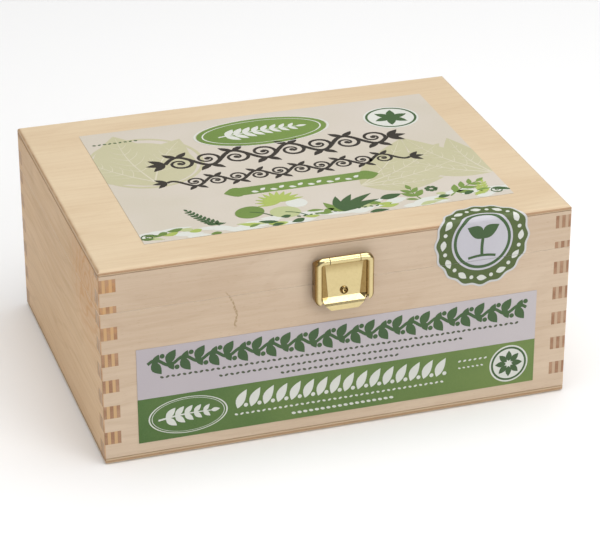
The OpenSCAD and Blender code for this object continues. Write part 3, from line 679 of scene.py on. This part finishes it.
def sprig(sheet, at, angle, length, pairs, leaf_length, leaf_width, sag=0.08, spread=48.0, thick=0.5):
    """A stem with pairs of leaves that shrink towards its tip, and one leaf on top."""
    stem = curve(at, Vector(at) + polar(angle, length), sag)
    stroke(sheet, stem, thick, steps=12, taper=0.5)
    for k in range(pairs):
        share = (k + 0.8) / (pairs + 0.6)
        size = 1.0 - 0.45 * share
        for side in (-1, 1):
            turned = angle + side * spread
            leaf(sheet, stem(share), turned, leaf_length * size, leaf_width * size, segments=14)
    leaf(sheet, stem(1.0), angle, leaf_length * 0.6, leaf_width * 0.6, segments=14)


print("ink film:", INK_T, "mm")

# %% [markdown]
# ## From flat sheet to the object
# On a label, the flat sheet only has to be turned and moved. The seal is bent over
# the lid's edge, so its sheet is first cut into narrow rows there and each point is
# then rolled round the edge. The seal was also cut with a knife along the seam, and
# the same cut parts its print.

# %% Carry a sheet to its place
SINK = 0.01


def cut(sheet, at, outwards, clear=True):
    """Cuts the sheet across and, unless told otherwise, takes away the outer side."""
    everything = sheet.verts[:] + sheet.edges[:] + sheet.faces[:]
    bmesh.ops.bisect_plane(sheet, geom=everything, plane_co=at, plane_no=outwards, clear_outer=clear)


def trimmed(sheet, low, high):
    """Cuts off what runs past the label's edges, as a print shop's knife does."""
    cut(sheet, (low[0], 0, 0), (-1, 0, 0))
    cut(sheet, (high[0], 0, 0), (1, 0, 0))
    cut(sheet, (0, low[1], 0), (0, -1, 0))
    cut(sheet, (0, high[1], 0), (0, 1, 0))


def carried(sheet, name, ink, body, carry, level=1):
    """Gives the sheet its thickness, carries it to its place and lets it ride."""
    top = INK_T * level
    raised = bmesh.ops.extrude_face_region(sheet, geom=sheet.faces[:], use_keep_orig=True)["geom"]
    lifted = {v for v in raised if isinstance(v, bmesh.types.BMVert)}
    for v in sheet.verts:
        v.co = Vector(carry(v.co.x, v.co.y, top + v.co.z if v in lifted else -SINK)) * MM
    bmesh.ops.recalc_face_normals(sheet, faces=sheet.faces[:])
    mesh = bpy.data.meshes.new(name)
    sheet.to_mesh(mesh)
    sheet.free()
    mesh.materials.append(ink)
    piece = bpy.data.objects.new(name, mesh)
    bpy.context.scene.collection.objects.link(piece)
    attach(piece, body)
    return piece


def on_lid(u, v, h):
    return (u, v, lid_top + h)


def on_front(u, v, h):
    return (u, front_face - h, v)


label_low, label_high = (Vector(c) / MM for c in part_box("lid_label"))
lid_top = label_high.z
front_low, front_high = (Vector(c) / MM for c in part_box("front_label"))
front_face = front_low.y
print("lid label:", label_low[:], label_high[:])
print("front label:", front_low[:], front_high[:])

# %% [markdown]
# ## Print on the lid label
# The label shows kitchen-garden plants. Large faint leaves lie behind, a green
# medallion and two rows of black scrollwork fill the middle, a band of seeds closes
# them off, and small plants grow along the front edge. Each colour is one sheet.

# %% Faint leaves
def fan(sheet, vein_sheet, root, blades, bend):
    """Large leaves from one root, each with its veins on a second sheet."""
    for angle, length, width in blades:
        leaf(sheet, root, angle, length, width, bend, 32)
        rib = curve(root, Vector(root) + polar(angle, length) * 0.94, bend)
        stroke(vein_sheet, rib, 0.8, 16, 0.8)
        for share in (0.25, 0.38, 0.51, 0.64, 0.77):
            for side in (-1, 1):
                tip = rib(share) + polar(angle + side * 42, width) * 0.5 * (1.15 - share)
                stroke(vein_sheet, curve(rib(share), tip, 0.08 * side), 0.4, 6, 0.7)


sheet, vein_sheet = bmesh.new(), bmesh.new()
dot(sheet, (-56, 19), 21, 1.08, 20, 48)
ring(sheet, (-56, 20), 23.5, 25.0, 1.04, 64)
fan(sheet, vein_sheet, (-57, 0), ((62, 46, 24), (96, 52, 30), (128, 44, 22)), 0.05)
fan(sheet, vein_sheet, (24, -30), ((-4, 36, 13), (16, 52, 17), (34, 56, 19), (52, 52, 17)), -0.06)
fan(sheet, vein_sheet, (81, -34), ((98, 40, 15), (118, 52, 18), (142, 44, 15)), 0.07)
for part in (sheet, vein_sheet):
    trimmed(part, label_low, label_high)
faint = carried(sheet, "lid_print_faint", faint_leaf, "lid", on_lid)
veins = carried(vein_sheet, "lid_print_veins", faint_vein, "lid", on_lid, 2)
print("faint leaves:", len(faint.data.polygons), "faces")

# %% Two rows of scrollwork
CURL_TURN, CURL_CLOSE = 8.6, 0.8


def scroll_row(sheet, middle, half, wave, rise, thick):
    """A waving stem with a tendril curled into each bend, a berry and leaves."""
    def stem(share):
        x = half * (2 * share - 1)
        return (middle[0] + x, middle[1] + rise * math.sin(2 * math.pi * x / wave))

    stroke(sheet, stem, thick, int(half * 2.2))
    bends = int(half / wave * 2)
    for k in range(-bends, bends):
        x = wave * (k / 2 + 0.25)
        up = 1 if k % 2 else -1
        centre = Vector((middle[0] + x, middle[1] + up * rise * 0.18))
        start = Vector(stem(0.5 + (x + wave * 0.14) / (2 * half)))
        first, size = math.atan2(start.y - centre.y, start.x - centre.x), (start - centre).length

        def tendril(share):
            turned = first + up * CURL_TURN * share
            return centre + Vector((math.cos(turned), math.sin(turned))) * size * (1 - CURL_CLOSE * share)

        stroke(sheet, tendril, thick * 0.85, 32, 0.5)
        dot(sheet, centre, thick * 0.62)
        tip = (middle[0] + x, middle[1] - up * rise * 1.06)
        for side in (-1, 1):
            leaf(sheet, tip, -up * 90 + side * 52, wave * 0.27, wave * 0.11, 0.08 * side)
    for share, angle in ((0.0, 180), (1.0, 0)):
        for side in (-1, 0, 1):
            leaf(sheet, stem(share), angle + side * 42, wave * 0.34, wave * 0.13)


sheet = bmesh.new()
scroll_row(sheet, (1.5, 15.5), 50, 25.0, 5.6, 2.0)
scroll_row(sheet, (0.5, -5.5), 53, 18.5, 3.6, 1.5)
scroll = carried(sheet, "lid_print_scrolls", dark_ink, "lid", on_lid, 3)
print("scrollwork:", len(scroll.data.polygons), "faces")

# %% Medallion, badge and band
medal, badge, BAND_Y = (1.0, 37.5), (60.0, 34.5), -20.5
sheet = bmesh.new()
dot(sheet, medal, 29.5, 0.47, segments=72)
stroke(sheet, curve((-26, BAND_Y), (28, BAND_Y)), 7.4, 8)
for side, end in ((1, 28), (-1, -26)):
    leaf(sheet, (end - side * 3, BAND_Y), 90 - 90 * side, 10, 8.6)
green = carried(sheet, "lid_print_green", leaf_green, "lid", on_lid, 3)

sheet = bmesh.new()
ring(sheet, medal, 29.9, 30.7, 0.475, 72)
ring(sheet, medal, 26.4, 27.1, 0.44, 72)
sprig(sheet, (medal[0] - 20, medal[1] - 1.2), 3, 36, 8, 8.4, 3.4, 0.03, 48, 1.0)
dot(sheet, badge, 12.4, 0.94, segments=48)
for k in range(12):
    leaf(sheet, (-21.5 + 4.1 * k, BAND_Y - 1.2), 40 if k % 2 else -20, 3.2, 1.9, segments=14)
pale = carried(sheet, "lid_print_pale", pale_ink, "lid", on_lid, 4)

sheet = bmesh.new()
ring(sheet, badge, 10.4, 11.5, 0.94)
for k in range(6):
    leaf(sheet, (badge[0], badge[1]), 60 * k + 15, 8.2, 3.8, segments=16)
seeds(sheet, (-72.5, 44.4), 9, 2.3, 0.8, 0.6, (-20, 30))
seeds(sheet, (-10, -50.6), 16, 2.6, 0.85, 0.62, (-30, 24, 24))
deep = carried(sheet, "lid_print_dark", dark_green, "lid", on_lid, 5)
for piece in (green, pale, deep):
    print(piece.name, len(piece.data.polygons), "faces")

# %% Plants along the front edge
# A seeded random choice lays the fallen leaves and gives the same ones in each run.
chance = random.Random(5)
floor_y = label_low.y
inks = {"mist": pale_ink, "pale": pale_green, "lime": lime_green, "mid": leaf_green, "dark": dark_green}
sheets = {name: bmesh.new() for name in inks}
for k in range(30):
    at = (-80 + 5.4 * k, floor_y + chance.uniform(1, 9))
    angle, length, width = chance.uniform(-16, 16), chance.uniform(10, 16), chance.uniform(3, 5)
    leaf(sheets["mist"], at, angle, length, width)
for k in range(44):
    name = chance.choice(("pale", "pale", "lime", "mid", "dark"))
    at = (-75 + 3.5 * k + chance.uniform(-1, 1), floor_y + chance.uniform(0.5, 9.5))
    angle = chance.uniform(-24, 24) + chance.choice((0, 180))
    length, width = chance.uniform(4, 9), chance.uniform(1.6, 3.4)
    leaf(sheets[name], at, angle, length, width, 0.06)
for name, x, y, angle in (("mid", -28, -41, 20), ("pale", -14, -45, -12)):
    dot(sheets[name], (x, y), 6.4, 0.82, angle, 32)
    stroke(sheets["dark"], curve((x, y), (x + 8, y - 6), 0.1), 0.5, 10)
for angle in range(10, 200, 18):
    leaf(sheets["lime"], (-13, -35), angle, 10.5, 2.3, 0.04)
dot(sheets["mist"], (-7, -38), 4.6, 0.9)
for angle, length in ((118, 12), (86, 15), (62, 17), (40, 21), (22, 19)):
    leaf(sheets["dark" if length % 2 else "mid"], (9, -52), angle, length, 4.0, 0.06)
leaf(sheets["dark"], (27, -45), 12, 10, 4.4)
sprig(sheets["dark"], (-43, -49), 118, 19, 8, 3.8, 1.9, 0.04, 52, 0.5)
sprig(sheets["mid"], (43, -50), 96, 10, 2, 8.0, 3.6, 0.05, 46, 0.6)
sprig(sheets["mid"], (56, -51), 34, 18, 3, 8.4, 3.4, 0.05, 40, 0.6)
sprig(sheets["lime"], (70, -53), 74, 11, 4, 5.4, 2.0, 0.05, 38, 0.5)
for k in range(7):
    dot(sheets["dark"], (50.5 + 1.9 * math.cos(0.9 * k), -42 + 1.7 * math.sin(0.9 * k)), 1.0, segments=12)


def snail(x, y):
    """A path that winds into the given point about twice."""
    def path(share):
        left = 1 - share
        return (x + 3.6 * left * math.cos(12 * share), y + 3.0 * left * math.sin(12 * share))

    return path


for x in (-73.5, 76.5):
    stroke(sheets["dark"], snail(x, -51.5), 0.5, 40)
for level, (name, part) in enumerate(sheets.items()):
    trimmed(part, label_low, label_high)
    bed = carried(part, "lid_print_bed_" + name, inks[name], "lid", on_lid, 3 + level)
    print(bed.name, len(bed.data.polygons), "faces")

# %% [markdown]
# ## Print on the long label
# A bold dark-green garland runs along the pale half, with three fine rows of seeds
# under it. The green half has white pods in a row, a framed sprig on the left and a
# round flower on the right.

# %% Garland and seed rows
left_end, right_end = front_low.x, front_high.x
FRIEZE_Z, FRIEZE_GAP, WAVES = 43.2, 4.5, 13.5


def frieze_stem(share):
    x = left_end + FRIEZE_GAP + (right_end - left_end - 2 * FRIEZE_GAP) * share
    return (x, FRIEZE_Z + 1.5 * math.sin(2 * math.pi * WAVES * share))


sheet = bmesh.new()
stroke(sheet, frieze_stem, 1.4, 220)
for k in range(int(2 * WAVES)):
    x = left_end + 6.5 + k * 6.0
    hand = 1 if k % 2 else -1
    leaf(sheet, (x, FRIEZE_Z - hand * 0.8), hand * 58, 7.0, 4.0, 0.04 * hand, 18)
    leaf(sheet, (x + 0.6, FRIEZE_Z + hand * 0.4), -hand * 64, 4.8, 2.8, segments=16)
    dot(sheet, (x + 4.1, FRIEZE_Z - hand * 2.9), 1.05)
frieze = carried(sheet, "front_print_garland", dark_green, "box", on_front)

sheet = bmesh.new()
for start, z, count in ((-75.5, 36.6, 66), (-51, 33.2, 45), (-25, 30.2, 22)):
    seeds(sheet, (start, z), count, 2.35, 0.85)
rows = carried(sheet, "front_print_seeds", fine_ink, "box", on_front)
print("garland:", len(frieze.data.polygons), "faces, seed rows:", len(rows.data.polygons))

# %% White print on the green field
field_mid = (front_low.z + FIELD_TOP) / 2
frame_at, flower_at = (left_end + 20.8, field_mid), (right_end - 11.4, field_mid)
sheet = bmesh.new()
ring(sheet, frame_at, 16.0, 16.6, 0.50, 64)
ring(sheet, frame_at, 15.0, 15.3, 0.49, 64)
sprig(sheet, (frame_at[0] - 12.5, frame_at[1] - 0.8), 3, 22, 5, 6.4, 3.0, 0.03, 44, 0.8)
for k in range(16):
    x = left_end + 41.5 + k * 5.75
    leaf(sheet, (x, field_mid - 0.9), 64, 9.2, 3.7, 0.05)
    dot(sheet, (x + 3.6, field_mid + 0.2), 0.9)
seeds(sheet, (left_end + 41, field_mid - 3.6), 39, 2.35, 0.75, tilts=(-20, 20))
seeds(sheet, (left_end + 65.5, field_mid - 7.2), 18, 2.5, 0.95, tilts=(-15,), segments=12)
for k in range(6):
    dot(sheet, (right_end - 33.5 + k * 2.3, field_mid + 4.6), 0.7, 0.6, 20, 10)
    dot(sheet, (right_end - 33.5 + k * 2.0, field_mid + 1.4), 0.6, 0.6, -20, 10)
dot(sheet, flower_at, 8.6, segments=48)
white = carried(sheet, "front_print_white", pale_ink, "box", on_front)

sheet = bmesh.new()
ring(sheet, flower_at, 7.0, 7.9)
for k in range(8):
    leaf(sheet, Vector(flower_at) + polar(45 * k, 1.2), 45 * k, 4.9, 2.6, segments=14)
flower = carried(sheet, "front_print_flower", dark_green, "box", on_front, 2)
print("white print:", len(white.data.polygons), "faces")

# %% [markdown]
# ## Print on the seal
# The seal is a scalloped round of paper stuck over the seam: a pale rim, a green
# field with a wreath of marks, and a pale middle with a seedling. Its flat sheet has
# the height along the paper as its second coordinate.

# %% Round the lid's edge
SEAL_X, SEAL_Z, SEAL_D, SCALLOP, LOBES, RIM = 60.6, 77.1, 41.9, 0.9, 16, 0.9
WREATH_MARKS, WREATH_R = 24, 16.7
EDGE_R, BEND_ROWS = 1.8, 8
flat_s = BOX_TOP - EDGE_R - SEAL_Z
bend_s = EDGE_R * math.pi / 2


def on_seal(u, s, h):
    if s <= flat_s:
        return (SEAL_X + u, -HALF_D - PAPER_T - h, SEAL_Z + s)
    if s >= flat_s + bend_s:
        return (SEAL_X + u, -HALF_D + EDGE_R + s - flat_s - bend_s, BOX_TOP + PAPER_T + h)
    angle, radius = (s - flat_s) / EDGE_R, EDGE_R + PAPER_T + h
    y = -HALF_D + EDGE_R - radius * math.cos(angle)
    return (SEAL_X + u, y, BOX_TOP - EDGE_R + radius * math.sin(angle))


def sealed(draw, name, ink, level):
    """Draws the same sheet for the lid and for the body, and keeps each one's side of the seam."""
    for body, at, up in (("lid", SEAM[1] - SEAL_Z, -1), ("box", SEAM[0] - SEAL_Z, 1)):
        sheet = bmesh.new()
        draw(sheet)
        cut(sheet, (0, at, 0), (0, up, 0))
        if body == "lid":
            for k in range(BEND_ROWS + 1):
                cut(sheet, (0, flat_s + bend_s * k / BEND_ROWS, 0), (0, 1, 0), clear=False)
        piece = carried(sheet, name + "_" + body, ink, body, on_seal, level)
        print(piece.name, len(piece.data.polygons), "faces")


def scalloped(sheet):
    verts = bmesh.ops.create_circle(sheet, cap_ends=True, segments=128, radius=1.0)["verts"]
    for v in verts:
        angle = math.atan2(v.co.y, v.co.x)
        v.co *= (SEAL_D - SCALLOP) / 2 - RIM + SCALLOP / 2 * math.cos(LOBES * angle)


def seal_middle(sheet):
    dot(sheet, (0, 0), 13.4, segments=72)


def seal_wreath(sheet):
    for k in range(WREATH_MARKS):
        angle = 360 * k / WREATH_MARKS
        if k % 2:
            dot(sheet, polar(angle, WREATH_R), 0.85)
        else:
            leaf(sheet, polar(angle - 7, WREATH_R), angle + 80, 4.6, 2.5, segments=14)


def seedling(sheet):
    ring(sheet, (0, 0), 11.2, 12.5, segments=64)
    stroke(sheet, curve((0, -7.0), (0.4, 2.4), 0.03), 1.3, 10)
    for side in (-1, 1):
        leaf(sheet, (0.3, 1.0), 90 - side * 52, 8.8, 5.2, 0.10 * side, 20)
    stroke(sheet, curve((-6.0, -7.4), (6.0, -7.4), 0.06), 1.1, 14)


for draw, name, ink, level in (
    (scalloped, "seal_field", seal_green, 1), (seal_middle, "seal_middle", lilac_ink, 2),
    (seal_wreath, "seal_wreath", pale_ink, 2), (seedling, "seal_seedling", dark_green, 3),
):
    sealed(draw, name, ink, level)

# %% [markdown]
# ## The table's surface
# The table is matt and almost white. A trace of unevenness keeps it from looking
# like an empty background.

# %% Table material
table_paint, t, shader = new_material("table_paint")
cloudy = noise(t, put(t, "ShaderNodeTexCoord").outputs["Object"], 1.5, 2.0, 0.5)
t.links.new(tint(t, cloudy, (0.93, 0.93, 0.93, 1), (0.90, 0.90, 0.90, 1)), shader.inputs["Base Color"])
shader.inputs["Roughness"].default_value = 0.9
table_mesh.materials.append(table_paint)
print("table:", table_paint.name)
